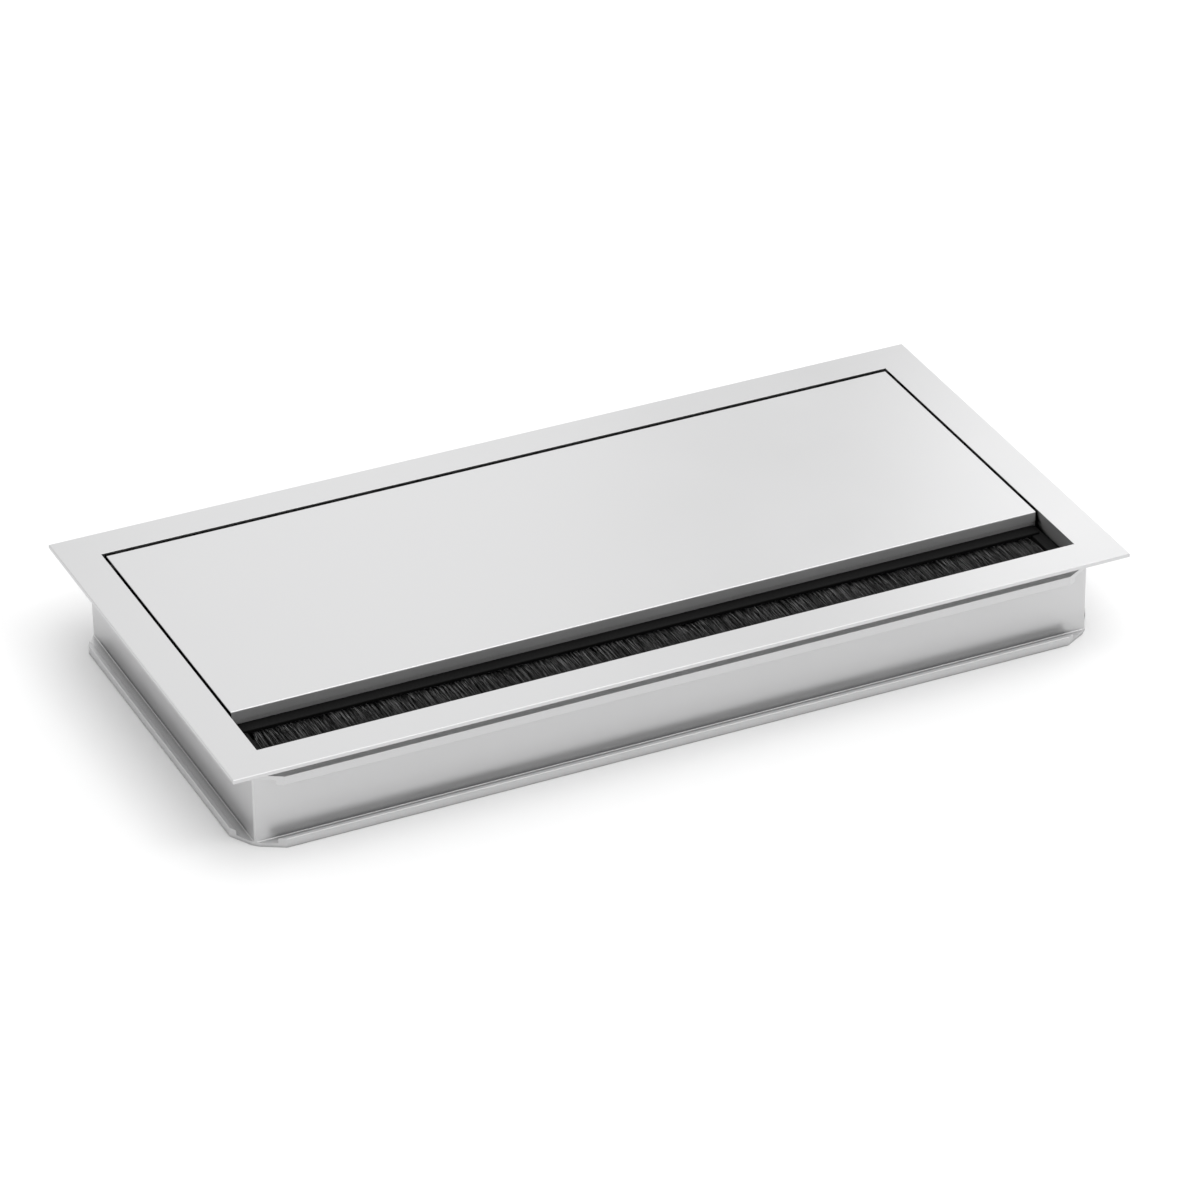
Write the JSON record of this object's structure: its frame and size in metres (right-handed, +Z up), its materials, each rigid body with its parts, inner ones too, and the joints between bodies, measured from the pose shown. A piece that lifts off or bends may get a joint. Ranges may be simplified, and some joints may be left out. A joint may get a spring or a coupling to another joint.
{
  "type": "desk grommet",
  "caption": "Flush rectangular desk cable port with a mitred aluminium frame, a hinged lid and a brush-lined cable slot.",
  "frame": {"origin": "centre of the desk cut-out, in the plane of the desk's top surface where the flange's underside rests", "axes": "+X along the length, +Y from the brush slot towards the lid's hinge, +Z up out of the desk"},
  "size_m": [0.269, 0.137, 0.028],
  "materials": {
    "frame_aluminium": "satin anodised",
    "lid_aluminium": "satin anodised",
    "black_plastic": "fine moulded texture",
    "rest_rubber": "matt",
    "bristle_nylon": "nylon strands",
    "zinc_steel": "zinc plated",
    "pin_steel": "ground",
    "bush_plastic": "moulded bearing plastic",
    "black_screw": "black zinc plated"
  },
  "bodies": {
    "frame": {"frame_front_rail": "frame_aluminium", "frame_back_rail": "frame_aluminium", "frame_left_rail": "frame_aluminium", "frame_right_rail": "frame_aluminium", "rest_strip_left": "rest_rubber", "rest_strip_right": "rest_rubber", "corner_key_front_left": "zinc_steel", "corner_key_front_right": "zinc_steel", "corner_key_back_left": "zinc_steel", "corner_key_back_right": "zinc_steel", "hinge_pin_left": "pin_steel", "hinge_pin_right": "pin_steel"},
    "lid": {"lid_panel": "lid_aluminium", "brush_carrier": "black_plastic", "brush_plug_left": "black_plastic", "brush_plug_right": "black_plastic", "brush_channel": "zinc_steel", "brush_core_wire": "zinc_steel", "bristles": "bristle_nylon", "hinge_block_left": "black_plastic", "hinge_block_right": "black_plastic", "hinge_bush_left": "bush_plastic", "hinge_bush_right": "bush_plastic", "brush_carrier_screws": "black_screw", "hinge_block_screws_left": "black_screw", "hinge_block_screws_right": "black_screw"}
  },
  "joints": [
    {"name": "lid_hinge", "type": "hinge", "parent": "frame", "child": "lid", "pos_m": [0, 0.0523, -0.002], "axis": [-1, 0, 0], "range_deg": [0, 108]}
  ]
}
